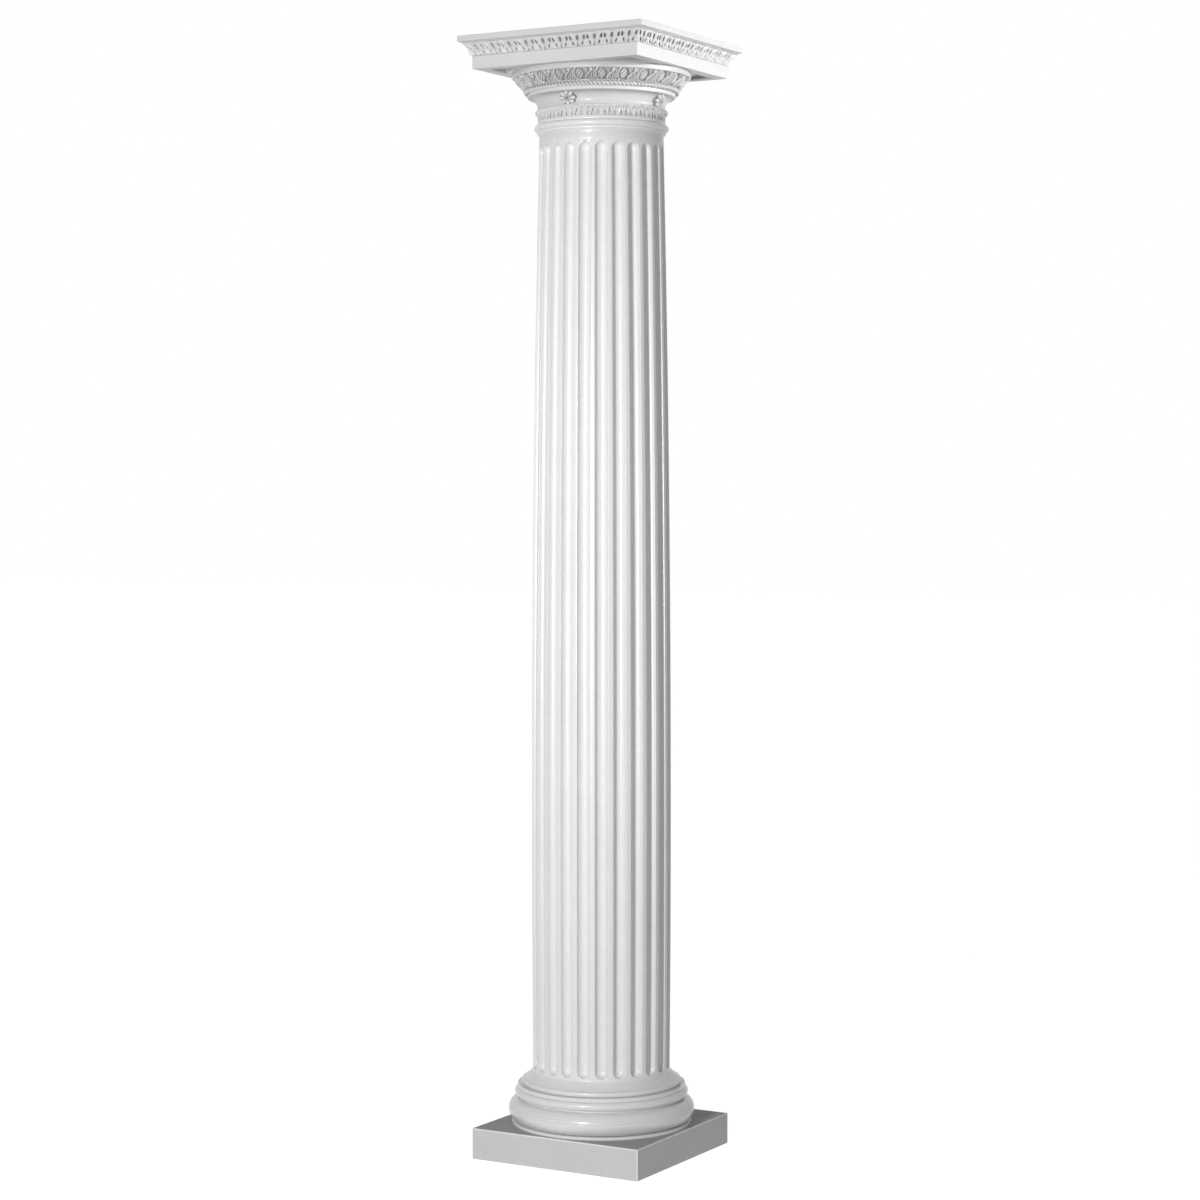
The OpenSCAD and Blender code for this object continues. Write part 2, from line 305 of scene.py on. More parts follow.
def makeBase(look):
    low, high = levels("base")
    lower = low + look["footHeight"]
    upper = lower + look["lowerHeight"] + look["quirkHeight"]
    fillet = upper + look["upperHeight"]
    # the lower torus is a half round with two fine lines cut round it, each a small V in degrees;
    # it keeps every degree near the lines and every sixth one elsewhere
    angle = np.linspace(-90, 90, 181)
    cut = sum(np.clip(1 - np.abs(angle - line) / look["lineHalf"], 0, 1) for line in look["lines"])
    bend = look["lowerHeight"] / 2
    reach = bend - look["lineDepth"] * cut
    torus = np.stack([look["lowerRadius"] - bend + reach * np.cos(np.radians(angle)),
                      lower + bend + reach * np.sin(np.radians(angle))], 1)
    kept = (angle % look["coarseStep"] == 0) | ((angle > look["fineFrom"]) & (angle < look["fineTo"]))
    loop = np.vstack([
        [[boreRadius, low], [look["footRadius"], low], [look["footRadius"], lower]],
        torus[kept],
        [[look["quirkRadius"], lower + look["lowerHeight"]], [look["quirkRadius"], upper]],
        halfRound(look["upperRadius"], upper, look["upperHeight"], 18),
        [[look["filletRadius"], fillet], [look["filletRadius"], high], [boreRadius, high]],
    ])
    x, y, z = turnedGrid(eased(loop, look["edge"]), look["columns"])
    return gridPiece("roundBase", x, y, z, bodyPaint, ["base"], weighted=True)


makeBase(baseLook)


shaftLook = {
    "footRingRadius": 175.0, "footRingHeight": 12.0, "footFlareHeight": 18.0,
    "footRadius": 150.5, "swellRadius": 153.3, "headRadius": 137.0, "swellAt": 0.28,
    "fluteCount": 24, "fluteHalf": 13.8, "footGap": 5.0, "headGap": 20.0, "arris": 1.1,
    "headFlareHeight": 9.0, "filletRadius": 141.5, "filletHeight": 5.0,
    "astragalRadius": 148.0, "astragalHeight": 15.0, "drumRows": 30, "edge": 0.8,
    "flarePower": 1.15, "fluteSteps": 17, "arrisShare": 0.35, "headLip": 2.0, "footRow": 4.0,
    "headRow": 10.0, "headShade": 0.14,
}


def makeShaft(look):
    low, high = levels("shaft")
    drumFoot = low + look["footRingHeight"] + look["footFlareHeight"]
    astragal = high - look["filletHeight"] - look["astragalHeight"]
    fillet = astragal - look["filletHeight"]
    drumHead = fillet - look["headFlareHeight"]
    swell = drumFoot + look["swellAt"] * (drumHead - drumFoot)

    def radiusAt(z):
        # a parabola on each side of the widest level
        below = look["swellRadius"] - (look["swellRadius"] - look["footRadius"]) * (
            (swell - z) / (swell - drumFoot)) ** 2
        above = look["swellRadius"] - (look["swellRadius"] - look["headRadius"]) * (
            (z - swell) / (drumHead - swell)) ** 2
        return np.where(z < swell, below, above)

    # rows of the drum: level and half width of every flute, whose ends are quarter spheres
    half, count = look["fluteHalf"], look["fluteCount"]
    opening = np.radians([2, 8, 16, 25, 34, 44, 54, 65, 77, 90])
    foot, head = drumFoot + look["footGap"], drumHead - look["headGap"]
    run = np.linspace(foot + half, head - half, look["drumRows"] + 2)[1:-1]
    level = np.r_[foot + half * (1 - np.cos(opening)), run, head - half * (1 - np.cos(opening[::-1]))]
    width = np.r_[half * np.sin(opening), np.full(len(run), half), half * np.sin(opening[::-1])]
    radius = radiusAt(level)[:, None]
    w = width[:, None]
    ease = np.minimum(look["arris"], look["arrisShare"] * w)
    centre = np.sqrt(radius ** 2 - w ** 2)

    # across one flute: side = -w cos(t) and out = centre - w sin(t), with eased arrises
    start = np.arcsin(ease / w)
    t = start + (np.pi - 2 * start) * np.linspace(0, 1, look["fluteSteps"])
    side, out = -w * np.cos(t), centre - w * np.sin(t)
    lip = np.arcsin(w / radius) + ease / radius
    lipSide, lipOut = radius * np.sin(lip), radius * np.cos(lip)
    turnSide = 0.25 * lipSide + 0.5 * w + 0.25 * side[:, -1:]
    turnOut = 0.25 * lipOut + 0.5 * centre + 0.25 * out[:, -1:]
    across = np.hstack([-lipSide, -turnSide, side, turnSide, lipSide])
    inOut = np.hstack([lipOut, turnOut, out, turnOut, lipOut])
    step = turn / count
    between = lip + (step - 2 * lip) * np.array([[0.25, 0.5, 0.75]])
    across = np.hstack([across, radius * np.sin(between)])
    inOut = np.hstack([inOut, radius * np.cos(between)])
    reach, offset = np.hypot(across, inOut), np.arctan2(across, inOut)
    axis = -np.pi / 2 + np.arange(count) * step
    drumReach = np.tile(reach, (1, count))
    drumAngle = (axis[None, :, None] + offset[:, None, :]).reshape(len(level), -1)

    # plain rows: mouldings below and above the drum, columns at the flute's own spacing
    footInner = look["footRingRadius"] - look["footRingHeight"] / 2
    rise = np.linspace(0, 1, 13)
    flareR = look["footRadius"] + (footInner - look["footRadius"]) * (1 - rise) ** look["flarePower"]
    flareZ = low + look["footRingHeight"] + look["footFlareHeight"] * rise
    headRise = np.linspace(0, 1, 9)
    headOut = look["filletRadius"] - look["headLip"] - look["headRadius"]
    headR = look["headRadius"] + headOut * headRise ** 2
    headZ = drumHead + look["headFlareHeight"] * headRise
    firstRow, lastRow = drumFoot + look["footRow"], drumHead - look["headRow"]
    loop = np.vstack([
        [[boreRadius, low]],
        halfRound(look["footRingRadius"], low, look["footRingHeight"], 14),
        np.stack([flareR, flareZ], 1)[1:],
        [[float(radiusAt(firstRow)), firstRow], [float(radiusAt(lastRow)), lastRow]],
        np.stack([headR, headZ], 1),
        [[look["filletRadius"], fillet], [look["filletRadius"], astragal]],
        halfRound(look["astragalRadius"], astragal, look["astragalHeight"], 16),
        [[look["filletRadius"], astragal + look["astragalHeight"]], [look["filletRadius"], high],
         [boreRadius, high]],
    ])
    loop = eased(loop, look["edge"])
    split = int(np.argmax(loop[:, 1] > (low + high) / 2))   # the drum goes in here
    perFlute = across.shape[1]
    middle = look["fluteSteps"] // 2 + 2   # the column down the middle of a flute
    plainAngle = (axis[:, None] + (np.arange(perFlute) - middle) * step / perFlute).ravel()
    plainReach = loop[:, :1] * np.ones(len(plainAngle))
    plainAngle = np.tile(plainAngle, (len(loop), 1))
    reach = np.vstack([plainReach[:split], drumReach, plainReach[split:]])
    angle = np.vstack([plainAngle[:split], drumAngle, plainAngle[split:]])
    z = np.r_[loop[:split, 1], level, loop[split:, 1]][:, None] + 0 * reach
    # painted shade above the flutes, up under the fillet
    shadeMap = smooth(z, drumHead - look["headGap"], drumHead) * smooth(-z, -fillet - 1, 1 - fillet)
    return gridPiece("flutedShaft", reach * np.cos(angle), reach * np.sin(angle), z, bodyPaint,
                     ["shaft"], hollow=look["headShade"] * shadeMap)


makeShaft(shaftLook)


capitalLook = {
    "groundRadius": 136.5, "bandFoot": 3.0, "leafTop": 22.0, "bandRadius": 141.0,
    "beadRadius": 143.5, "beadHeight": 5.0, "neckRadius": 140.0, "neckTop": 56.0,
    "filletRadius": 163.0, "filletHeight": 7.0, "ropeHeight": 8.0, "ropeRadius": 171.0,
    "ovoloFoot": 71.0, "ovoloHeight": 27.0, "ovoloBow": 2.0, "ovoloGround": 8.0, "echinusRadius": 197.0,
    "ovoloTuck": 2.0, "neckStraight": 4.0, "neckRise": 23.0, "neckTuck": 3.0, "seatIn": 1.0,
    "seatUp": 0.4, "bandStep": 3.0, "bandLean": 0.5, "bandBelly": 5.0, "topLean": 0.6, "topEase": 2.5,
    "columns": 288, "edge": 0.8,
    "neckShade": 0.13, "filletShade": 0.28, "filletShadeWide": 11.0, "bandShade": 0.24,
}


def ovoloProfile(look, low):
    # a nearly straight flare from the rope bead out to the plain band, bowed out by 4 t (1 - t)
    t = np.linspace(0, 1, 41)
    foot = np.array([look["ropeRadius"] - look["ovoloTuck"], low + look["ovoloFoot"]])
    way = np.array([look["echinusRadius"] - look["ropeRadius"], look["ovoloHeight"]])
    bow = look["ovoloBow"] * 4 * t * (1 - t)
    side = np.array([way[1], -way[0]]) / np.hypot(*way)
    return foot + way * t[:, None] + side * bow[:, None]


def makeCapitalCore(look):
    low, high = levels("capital")
    bead = low + look["leafTop"]
    neck = bead + look["beadHeight"]
    fillet = low + look["neckTop"]
    rope = fillet + look["filletHeight"]
    ovolo = ovoloProfile(look, low)[::3]
    ground = ovolo - outward(ovolo) * look["ovoloGround"]
    band = low + look["ovoloFoot"] + look["ovoloHeight"]
    neckOut, widest = look["filletRadius"] - look["neckTuck"], look["echinusRadius"]
    loop = np.vstack([
        [[boreRadius, low], [look["bandRadius"], low], [look["bandRadius"], low + look["bandFoot"]],
         [look["groundRadius"], low + look["bandFoot"]], [look["groundRadius"], bead]],
        halfRound(look["beadRadius"], bead, look["beadHeight"], 10),
        arc(neckOut, neck + look["neckStraight"], neckOut - look["neckRadius"], look["neckRise"],
            180, 90, 16),
        [[look["filletRadius"], fillet], [look["filletRadius"], rope],
         [look["filletRadius"] - look["seatIn"], rope + look["seatUp"]]],
        ground[1:],
        [[widest - look["bandStep"], band], [widest - look["bandLean"], band],
         [widest, band + look["bandBelly"]], [widest - look["topLean"], high - look["topEase"]],
         [widest - look["topEase"], high], [boreRadius, high]],
    ])
    loop = eased(loop, look["edge"])
    # painted shade in the neck, more close up under its fillet, and some on the plain band under the
    # abacus
    height = loop[:, 1:]
    inNeck = smooth(height, neck - 1, neck + 3) * smooth(-height, -fillet - 0.2, 0.5 - fillet)
    underFillet = smooth(height, fillet - look["filletShadeWide"], fillet) * inNeck
    onBand = smooth(height, band - 1, band + 2)
    shadeMap = look["neckShade"] * inNeck + look["filletShade"] * underFillet + look["bandShade"] * onBand
    x, y, z = turnedGrid(loop, look["columns"])
    return gridPiece("capitalCore", x, y, z, shadedOrnamentPaint, ["capital"],
                     hollow=shadeMap + 0 * x, weighted=True)


makeCapitalCore(capitalLook)


def carvedLoop(profile, relief, back):
    # the carved outside, profile + normal * relief, closed by a plain back behind it
    normal = outward(profile)
    radius = profile[:, :1] + normal[:, :1] * relief
    level = profile[:, 1:] + normal[:, 1:] * relief
    rear = (profile - normal * back)[::-1][[0, len(profile) // 2, -1]]
    flat = np.ones(relief.shape[1])
    return np.vstack([radius, rear[:, :1] * flat]), np.vstack([level, rear[:, 1:] * flat])


def withPlainBack(hollow, rows):
    # the same values, and 0 on the rows of the plain back
    return np.vstack([hollow, np.zeros((rows - len(hollow), hollow.shape[1]))])


def ringCarving(name, profile, relief, back, angle, deepest):
    radius, level = carvedLoop(profile, relief, back)
    # painted shade that grows with the depth of the cut
    hollow = withPlainBack(smooth(-relief, 0, deepest), len(radius))
    return gridPiece(name, radius * np.cos(angle), radius * np.sin(angle), level, shadedOrnamentPaint,
                     ["capital"], hollow=hollow)


ovoloLook = {
    "units": 24, "columnsPerUnit": 60, "rows": 48, "depth": 6.4, "back": 10, "ground": 1.5,
    "budHalf": 8.6, "budTall": 0.41, "budLevel": 0.50, "budHigh": 4.6, "budPower": 0.7,
    "foldAcross": 0.84, "foldUp": 0.54, "foldEvery": 6.2, "foldShift": 0.6, "foldHigh": 2.0,
    "shellHalf": 12.0, "shellTall": 0.52, "shellThick": 1.8, "shellHigh": 5.6,
    "stemAt": 15.2, "stemRun": 10.5, "stemSway": 2.2, "swayTurns": 0.9, "stemHalf": 2.2,
    "stemHigh": 6.6, "stemTop": 0.90,
    "curlAt": 25.2, "curlLevel": 0.83, "curlHalf": 4.0, "curlHigh": 7.6, "eyeHalf": 1.5, "eyeDeep": 3.6,
    # foot, lean, top, half width and height of each leaf
    "leaves": ((19.5, 3.5, 0.46, 1.6, 5.0), (24.0, 5.0, 0.62, 1.7, 5.2),
               (28.5, 5.5, 0.78, 1.7, 5.2), (32.5, 5.0, 0.94, 1.6, 5.6)),
    # foot, lean, start and half width of each spray
    "sprays": ((18.0, -8.0, 0.42, 2.0), (17.0, -1.5, 0.66, 1.8), (30.5, 3.0, 0.62, 1.6)),
    "sprayHigh": 4.8, "rimLevel": 0.945, "rimHigh": 6.4, "footHigh": 3.2,
}


def ovoloRelief(look, x, y, tall, pitch):
    # heights above the ground, as the highest of: a folded bud with a half shell on its left,
    # a stem on its right that sways up to a curl, and thin leaves that fill the rest
    k = y / tall
    fromBud = k - look["budLevel"]
    egg = np.hypot(x / look["budHalf"], fromBud / look["budTall"])
    slant = x * look["foldAcross"] - (y - look["budLevel"] * tall) * look["foldUp"]
    fold = look["foldHigh"] * np.cos(slant * turn / look["foldEvery"] + look["foldShift"])
    bud = look["budHigh"] * ridge(egg, 1) ** look["budPower"] + fold * smooth(1 - egg, 0, 0.25)
    height = bud * (egg < 1)
    shell = np.abs(np.hypot(x / look["shellHalf"], fromBud / look["shellTall"]) - 1) * look["shellHalf"]
    shell = look["shellHigh"] * ridge(shell, look["shellThick"])
    height = np.maximum(height, shell * smooth(-x, -4, 4) * (k > 0.05))
    for shift in (-2 * pitch, -pitch, 0, pitch):
        u = x - shift
        sway = look["stemSway"] * np.sin(k * turn * look["swayTurns"])
        stem = u - look["stemAt"] - look["stemRun"] * smooth(k, 0.22, 0.90) + sway
        stem = look["stemHigh"] * ridge(stem, look["stemHalf"]) * smooth(k, 0.06, 0.14)
        height = np.maximum(height, stem * (k < look["stemTop"]))
        away = np.hypot(u - look["curlAt"], y - look["curlLevel"] * tall)
        eye = look["eyeDeep"] * ridge(away, look["eyeHalf"])
        height = np.maximum(height, look["curlHigh"] * ridge(away, look["curlHalf"]) - eye)
        for foot, lean, top, wide, high in look["leaves"]:
            leaf = u - foot - lean * smooth(k, 0, 0.95)
            height = np.maximum(height, high * ridge(leaf, wide) * smooth(-k, -top, -top + 0.10))
        for foot, lean, start, wide in look["sprays"]:
            spray = look["sprayHigh"] * ridge(u - foot - lean * smooth(k, start, 1.0), wide)
            height = np.maximum(height, spray * smooth(k, start, start + 0.08))
    height = np.maximum(height, look["rimHigh"] * smooth(k, look["rimLevel"], look["rimLevel"] + 0.02))
    return np.maximum(height, look["ground"] + look["footHigh"] * smooth(-k, -0.05, -0.02))


def makeOvolo(look, core):
    low = levels("capital")[0]
    profile, tall = evenly(ovoloProfile(core, low), look["rows"])
    columns = look["units"] * look["columnsPerUnit"]
    angle = -np.pi / 2 + np.arange(columns) * turn / columns
    pitch = turn / look["units"] * profile[:, 0].mean()
    cell = ((np.arange(columns) / look["columnsPerUnit"] + 0.5) % 1 - 0.5) * pitch
    along = np.linspace(0, tall, look["rows"])[:, None]
    relief = ovoloRelief(look, cell[None, :] + 0 * along, along + 0 * cell, tall, pitch)
    relief = relief - look["depth"]
    return ringCarving("carvedOvolo", profile, relief, look["back"], angle, look["depth"])


makeOvolo(ovoloLook, capitalLook)


ropeLook = {"strands": 120, "columnsPerStrand": 10, "rows": 24, "thick": 4.8, "strand": 3.0, "lay": 2,
            "lift": 0.4, "strandHalf": 0.42}


def makeRope(look, core):
    # a ring of round section whose radius shrinks between strands: thick - strand * (1 - bead),
    # and the strands turn about the ring as they go along it
    low = levels("capital")[0]
    centreZ = low + core["neckTop"] + core["filletHeight"] + core["ropeHeight"] / 2 + look["lift"]
    centreR = core["ropeRadius"] - core["ropeHeight"] / 2
    columns = look["strands"] * look["columnsPerStrand"]
    angle = np.arange(columns) * turn / columns
    section = np.linspace(0, turn, look["rows"], endpoint=False)[:, None]
    phase = (angle * look["strands"] + section * look["lay"]) / turn
    bulge = ridge((phase % 1) - look["strandHalf"], look["strandHalf"])
    thick = look["thick"] + look["strand"] * (bulge - 1)
    radius = centreR + thick * np.cos(section)
    z = centreZ + thick * np.sin(section)
    # painted shade in the grooves between the strands
    return gridPiece("ropeBead", radius * np.cos(angle), radius * np.sin(angle), z, shadedOrnamentPaint,
                     ["capital"], hollow=smooth(-bulge, -0.7, -0.1))


makeRope(ropeLook, capitalLook)


leafLook = {
    "units": 24, "columnsPerUnit": 52, "rows": 40, "depth": 4.5, "back": 8, "overBead": 5.0,
    "footIn": 0.5, "gapHalf": 5.4, "slitAt": 0.20, "slitHalf": 3.1, "lip": 0.80, "lipWave": 0.07,
    "lipHalf": 0.15, "lipHigh": 5.4, "body": 3.0, "ribs": 5, "ribHigh": 0.6, "crimp": 0.30,
    "ground": 0.7, "footHigh": 0.8,
}


def leafRelief(look, x, y, tall, pitch):
    # upright leaves that widen to a curled lip, with dark gaps between them that narrow upwards:
    # a wide gap beside every leaf, two small ones inside it, and fine ribs up to the lip
    k = y / tall
    beside = pitch / 2 - np.abs(x)
    inside = np.abs(np.abs(x) - pitch * look["slitAt"])
    gap = np.maximum(smooth(-beside / look["gapHalf"], -1.05 + 1.5 * k, -0.70 + 1.5 * k),
                     smooth(-inside / look["slitHalf"], -1.05 + 1.7 * k, -0.65 + 1.7 * k))
    ribs = np.cos(x / pitch * turn * look["ribs"])
    lip = look["lip"] + look["lipWave"] * np.cos(x / pitch * turn * look["ribs"] / 2)
    body = look["body"] + look["lipHigh"] * ridge(k - lip, look["lipHalf"]) + look["ribHigh"] * ribs
    crimp = 1 - look["crimp"] * smooth(ribs, 0.2, -0.8) * smooth(k, 0.55, 0.75)
    body = body * crimp * smooth(-k, -lip - 0.19, -lip - 0.10) + look["ground"]
    return np.maximum(body * (1 - gap), look["footHigh"] * smooth(-k, -0.07, -0.02))


def makeLeafBand(look, core):
    low = levels("capital")[0]
    foot, top = low + core["bandFoot"], low + core["leafTop"] + look["overBead"]
    face = core["groundRadius"] + look["depth"]
    profile, tall = evenly([[face - look["footIn"], foot], [face, top]], look["rows"])
    columns = look["units"] * look["columnsPerUnit"]
    angle = -np.pi / 2 + np.arange(columns) * turn / columns
    pitch = turn / look["units"] * face
    cell = ((np.arange(columns) / look["columnsPerUnit"] + 0.5) % 1 - 0.5) * pitch
    along = np.linspace(0, tall, look["rows"])[:, None]
    relief = leafRelief(look, cell[None, :] + 0 * along, along + 0 * cell, tall, pitch)
    relief = relief - look["depth"]
    return ringCarving("leafBand", profile, relief, look["back"], angle, look["depth"])


makeLeafBand(leafLook, capitalLook)


rosetteLook = {
    "count": 4, "radius": 17.5, "petals": 8, "rows": 30, "columns": 144, "rise": 7.5,
    "reach": 146.0, "aboveNode": 41.5, "tilt": 22.0, "wide": 1.18, "petalFoot": 0.74,
    "petalTip": 0.26, "petalSpread": 2.55, "domeAt": 0.66, "domeReach": 0.36, "domeHigh": 0.78,
    "foldDeep": 0.22, "petalHigh": 0.10, "buttonAt": 0.27, "buttonHalf": 0.15, "eye": 0.14,
    "sink": 0.6, "plugWide": 0.9, "plugDeep": 9.0,
}


def makeRosettes(look):
    # one flower in polar form: distance out by angle round, height = petal domes in two rings
    # with a sunk eye; the back is a shallow plug inside the neck
    low = levels("capital")[0]
    out = np.linspace(0, 1, look["rows"])[:, None]
    angle = np.linspace(0, turn, look["columns"], endpoint=False)[None, :]
    lobe = np.abs(np.cos(angle * look["petals"] / 2))       # 1 along a petal, 0 between two
    edge = look["radius"] * (look["petalFoot"] + look["petalTip"] * np.sqrt(lobe))
    side = np.arccos(lobe) / (look["petals"] / 2) * look["petalSpread"]   # across a petal, 0 to 1
    along = (out - look["domeAt"]) / look["domeReach"]
    dome = np.sqrt(np.clip(1 - along ** 2 - side ** 2 * 0.95, 0, 1))
    fold = look["foldDeep"] * ridge(side, 0.30) * smooth(out, 0.40, 0.60)
    petal = look["rise"] * (look["petalHigh"] + look["domeHigh"] * dome - fold * dome)
    between = np.abs(np.sin(angle * look["petals"] / 2))    # 1 between two petals, 0 along one
    button = look["rise"] * ridge(out - look["buttonAt"], look["buttonHalf"]) * (0.35 + 0.65 * between)
    height = np.maximum(petal * smooth(-out, -1.001, -0.94), button)
    height = np.where(out < look["eye"], height * smooth(out, 0.03, look["eye"]), height) - look["sink"]
    across, upward = out * edge * np.cos(angle) * look["wide"], out * edge * np.sin(angle)
    rearOut = np.array([[look["plugWide"]], [0.0]])
    rear = np.full((2, look["columns"]), -look["plugDeep"])
    across = np.vstack([across, rearOut * edge * np.cos(angle) * look["wide"]])
    upward = np.vstack([upward, rearOut * edge * np.sin(angle)])
    height = np.vstack([height, rear])
    # painted shade in the hollows of the flower; none on the plug
    depth = np.vstack([smooth(-height[:-2], -look["rise"] * 0.55, -0.3), 0 * rear])
    tilt = np.radians(look["tilt"])
    # facing out and a little down: out = height cos + up sin, level = up cos - height sin
    outR = look["reach"] + height * np.cos(tilt) + upward * np.sin(tilt)
    level = low + look["aboveNode"] + upward * np.cos(tilt) - height * np.sin(tilt)
    rows, columns = height.shape
    index = np.arange(rows * columns).reshape(rows, columns)
    right = np.roll(index, -1, 1)
    quads = np.stack([index[:-1], index[1:], right[1:], right[:-1]], -1).reshape(-1, 4)
    face = -np.pi / 2 + np.arange(look["count"])[:, None, None] * turn / look["count"]
    x = outR * np.cos(face) - across * np.sin(face)
    y = outR * np.sin(face) + across * np.cos(face)
    points = np.stack([x, y, level + 0 * x], -1).reshape(-1, 3) * mm
    allQuads = (quads[None] + (np.arange(look["count"]) * rows * columns)[:, None, None]).reshape(-1, 4)
    mesh = bpy.data.meshes.new("rosettes")
    mesh.from_pydata(points, [], allQuads)
    store = mesh.attributes.new("hollow", "FLOAT", "POINT")
    store.data.foreach_set("value", np.tile(depth.ravel(), look["count"]).astype(np.float32))
    whole = bmesh.new()
    whole.from_mesh(mesh)
    bmesh.ops.remove_doubles(whole, verts=whole.verts, dist=1e-6)
    bmesh.ops.recalc_face_normals(whole, faces=whole.faces)
    whole.to_mesh(mesh)
    whole.free()
    return finishPiece("rosettes", mesh, shadedOrnamentPaint, ["capital"])


makeRosettes(rosetteLook)


abacusLook = {
    "coronaHalf": 206.0, "coronaHeight": 27.0, "cymaHeight": 28.0, "cymaFoot": 208.0,
    "cymaHead": 221.0, "filletHalf": 224.0, "filletHeight": 3.0, "fasciaHalf": 230.0,
    "corner": 1.6, "edge": 0.9, "sunkHalf": 178.0, "sunkDisc": 204.0, "sunkDepth": 7.0,
    "sunkEase": 1.4, "sunkSlope": 1.6, "sunkEdge": 0.4, "sunkShade": 0.45, "lineShade": 0.38,
    "filletTuck": 2.0, "squareFrom": 195.0, "roundAt": 172.0, "columnsPerSide": 120, "ground": 7.0,
}


def cymaProfile(look, low, steps):
    # half width = foot + reach * (t - sin(360 t) / 16): hollow below, swelling above
    t = np.linspace(0, 1, steps + 1)
    reach = look["cymaHead"] - look["cymaFoot"]
    half = look["cymaFoot"] + reach * (t - np.sin(turn * t) / 16)
    return np.stack([half, low + look["coronaHeight"] + look["cymaHeight"] * t], 1)


def makeAbacusCore(look):
    low, high = levels("abacus")
    core, way = squareColumns(np.linspace(-1, 1, look["columnsPerSide"] + 1), 4)
    cyma = cymaProfile(look, low, 12)
    ground = cyma - outward(cyma) * look["ground"]
    coronaTop = low + look["coronaHeight"]
    fillet = coronaTop + look["cymaHeight"]
    fascia = fillet + look["filletHeight"]
    filletOut = look["filletHalf"]
    loop = np.vstack([
        [[look["coronaHalf"], low], [look["coronaHalf"], coronaTop]],
        ground[1:-1],
        [[filletOut - look["filletTuck"], fillet], [filletOut, fillet], [filletOut, fascia],
         [look["fasciaHalf"], fascia], [look["fasciaHalf"], high],
         [roundRing, high], [boreRadius, high], [boreRadius, low], [roundRing, low]],
    ])
    loop = eased(loop, look["edge"])
    x, y = squareGrid(loop[:, :1] * np.ones(len(core)), look["corner"], core, way)
    angle = np.arctan2(y[0], x[0])
    roundness = smooth(loop[:, :1], look["squareFrom"], look["roundAt"])
    square = np.hypot(x, y)
    angles = np.arctan2(y, x)
    reach = square + (loop[:, :1] - square) * roundness
    z = loop[:, 1:] + 0 * reach
    # the sunk corners: four rings between the hole and the corona's edge, which drop
    # back by the full depth where the square lies well outside the disc
    edgeOut = look["sunkHalf"] / np.maximum(np.abs(np.cos(angle)), np.abs(np.sin(angle)))
    innerOut = edgeOut - look["sunkEase"]
    discOut = np.minimum(look["sunkDisc"], innerOut)
    depth = look["sunkSlope"] * np.clip(innerOut - look["sunkDisc"], 0, None)
    depth = np.minimum(look["sunkDepth"], depth)
    rings = np.stack([discOut, discOut + look["sunkEdge"], edgeOut - look["sunkEdge"], edgeOut])
    ringsZ = low + np.stack([0 * depth, depth, depth, 0 * depth])
    reach = np.vstack([reach, rings])
    angles = np.vstack([angles, np.tile(angle, (4, 1))])
    z = np.vstack([z, ringsZ])
    # painted shade in the fillet's face, where it meets the fascia's underside, and in the sunk corners
    line = smooth(-np.abs(loop[:, 1:] - (fillet + fascia) / 2), -2.2, -1.4)
    line = line * smooth(-loop[:, :1], -filletOut - 1.5, -filletOut - 0.5)
    hollow = 0 * z
    hollow[:-4] = look["lineShade"] * line
    hollow[-3:-1] = (depth / look["sunkDepth"]) * look["sunkShade"]
    return gridPiece("abacusCore", reach * np.cos(angles), reach * np.sin(angles), z, shadedOrnamentPaint,
                     ["abacus"], hollow=hollow, weighted=True)


makeAbacusCore(abacusLook)


cymaLook = {
    "units": 10, "columnsPerUnit": 48, "rows": 40, "depth": 5.6, "back": 9, "shallow": 1.1,
    "deepest": 5.2, "lineShade": 0.6, "faceHigh": 3.8, "faceWave": 0.4,
    "slotAt": 0.110, "slotHalf": 0.080, "slotLevel": 0.64, "slotTall": 0.215, "slotDeep": 5.4,
    "besideHalf": 0.088, "besideLevel": 0.62, "besideTall": 0.225, "besideDeep": 4.8,
    "archHalf": 0.22, "archLevel": 0.60, "archTall": 0.31, "archThick": 0.045, "archHigh": 6.0,
    "cutAt": 0.22, "cutHalf": 0.055, "cutTall": 0.15, "cutDeep": 4.6,
    "tipHigh": 6.6, "tipTop": 0.44, "tipHalf": 0.030, "tipWidens": 0.32,
    "smallAt": 0.37, "smallHalf": 0.075, "smallLevel": 0.21, "smallTall": 0.18, "smallHigh": 6.0,
    "notchHalf": 0.05, "notchRun": 2.2, "notchDeep": 0.9, "rimLevel": 0.93, "rimHigh": 1.5,
    "footHigh": 3.4,
}


